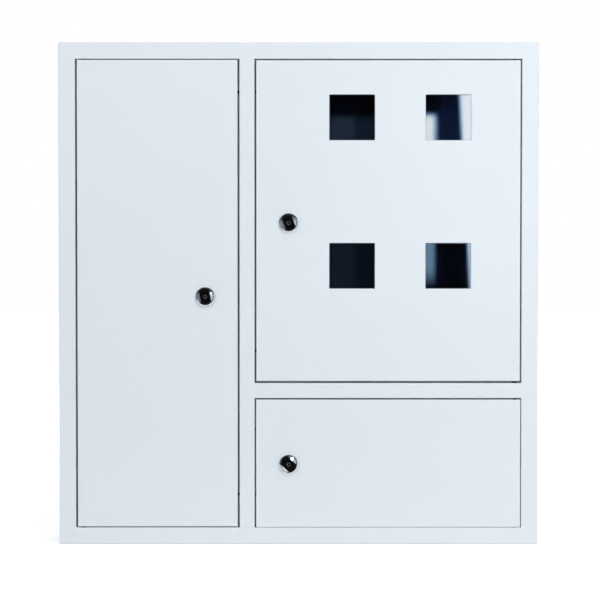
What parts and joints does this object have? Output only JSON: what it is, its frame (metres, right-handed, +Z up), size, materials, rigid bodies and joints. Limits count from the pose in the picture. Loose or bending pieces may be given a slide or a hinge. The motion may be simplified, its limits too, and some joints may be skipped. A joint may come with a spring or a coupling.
{
  "type": "electric meter box",
  "caption": "Flush wall cabinet of pale sheet steel for electricity meters: face frame, inset pivoted doors with quarter-turn locks, glazed reading windows, meter panel and breaker rail.",
  "frame": {"origin": "centre of the back face, at the middle of the wall-bolt pattern", "axes": "+X to the right seen from the front, +Y into the wall, +Z up"},
  "size_m": [0.955, 0.1603, 1],
  "materials": {
    "painted_steel": "satin powder coat",
    "zinc_steel": "zinc plated",
    "chrome": "polished",
    "black_plastic": "moulded",
    "glass": "clear",
    "brass": "plain",
    "blue_plastic": "moulded",
    "rubber": "matt",
    "nylon": "moulded",
    "white_plastic": "moulded"
  },
  "bodies": {
    "enclosure": {"back_panel": "painted_steel", "left_wall": "painted_steel", "right_wall": "painted_steel", "top_wall": "painted_steel", "bottom_wall": "painted_steel", "front_frame": "painted_steel", "compartment_divider": "painted_steel", "shelf_divider": "painted_steel", "meter_panel": "zinc_steel", "panel_bracket_upper": "zinc_steel", "panel_bracket_lower": "zinc_steel", "meter_rail_upper": "zinc_steel", "meter_rail_lower": "zinc_steel", "breaker_rail": "zinc_steel", "breaker_bracket_left": "zinc_steel", "breaker_bracket_right": "zinc_steel", "breaker_cover": "painted_steel", "cover_posts": "zinc_steel", "cover_screws": "black_plastic", "blank_strips": "white_plastic", "neutral_bar": "brass", "neutral_bar_insulators": "blue_plastic", "earth_bar": "brass", "earth_bar_supports": "zinc_steel", "terminal_screws": "zinc_steel", "earth_terminal": "zinc_steel", "signal_plate": "zinc_steel", "signal_plate_posts": "zinc_steel", "fixing_screws": "zinc_steel", "door_buffers": "rubber", "pivot_pins": "zinc_steel", "pivot_washers": "nylon"},
    "left_door": {"left_door": "painted_steel", "left_door_stiffener": "painted_steel", "left_lock_housing": "chrome", "left_lock_nut": "zinc_steel"},
    "meter_door": {"meter_door": "painted_steel", "window_pane_1": "glass", "window_pane_2": "glass", "window_pane_3": "glass", "window_pane_4": "glass", "window_retainer_1": "zinc_steel", "window_retainer_2": "zinc_steel", "window_retainer_3": "zinc_steel", "window_retainer_4": "zinc_steel", "window_studs_and_nuts": "zinc_steel", "meter_lock_housing": "chrome", "meter_lock_nut": "zinc_steel"},
    "breaker_door": {"breaker_door": "painted_steel", "breaker_lock_housing": "chrome", "breaker_lock_nut": "zinc_steel"},
    "left_lock": {"left_lock_insert": "black_plastic", "left_lock_cam": "zinc_steel", "left_lock_screw": "zinc_steel"},
    "meter_lock": {"meter_lock_insert": "black_plastic", "meter_lock_cam": "zinc_steel", "meter_lock_screw": "zinc_steel"},
    "breaker_lock": {"breaker_lock_insert": "black_plastic", "breaker_lock_cam": "zinc_steel", "breaker_lock_screw": "zinc_steel"}
  },
  "joints": [
    {"name": "left_door_hinge", "type": "hinge", "parent": "enclosure", "child": "left_door", "pos_m": [-0.4295, -0.145, 0], "axis": [0, 0, -1], "range_deg": [0, 115]},
    {"name": "meter_door_hinge", "type": "hinge", "parent": "enclosure", "child": "meter_door", "pos_m": [0.4305, -0.145, 0.1445], "axis": [0, 0, 1], "range_deg": [0, 115]},
    {"name": "breaker_door_hinge", "type": "hinge", "parent": "enclosure", "child": "breaker_door", "pos_m": [0.4317, -0.145, -0.3375], "axis": [0, 0, 1], "range_deg": [0, 115]},
    {"name": "left_lock_turn", "type": "hinge", "parent": "left_door", "child": "left_lock", "pos_m": [-0.1855, -0.15, -0.0055], "axis": [0, -1, 0], "range_deg": [-10, 80]},
    {"name": "meter_lock_turn", "type": "hinge", "parent": "meter_door", "child": "meter_lock", "pos_m": [-0.0195, -0.15, 0.1415], "axis": [0, -1, 0], "range_deg": [-21, 69]},
    {"name": "breaker_lock_turn", "type": "hinge", "parent": "breaker_door", "child": "breaker_lock", "pos_m": [-0.0195, -0.15, -0.34], "axis": [0, -1, 0], "range_deg": [-49, 41]}
  ]
}
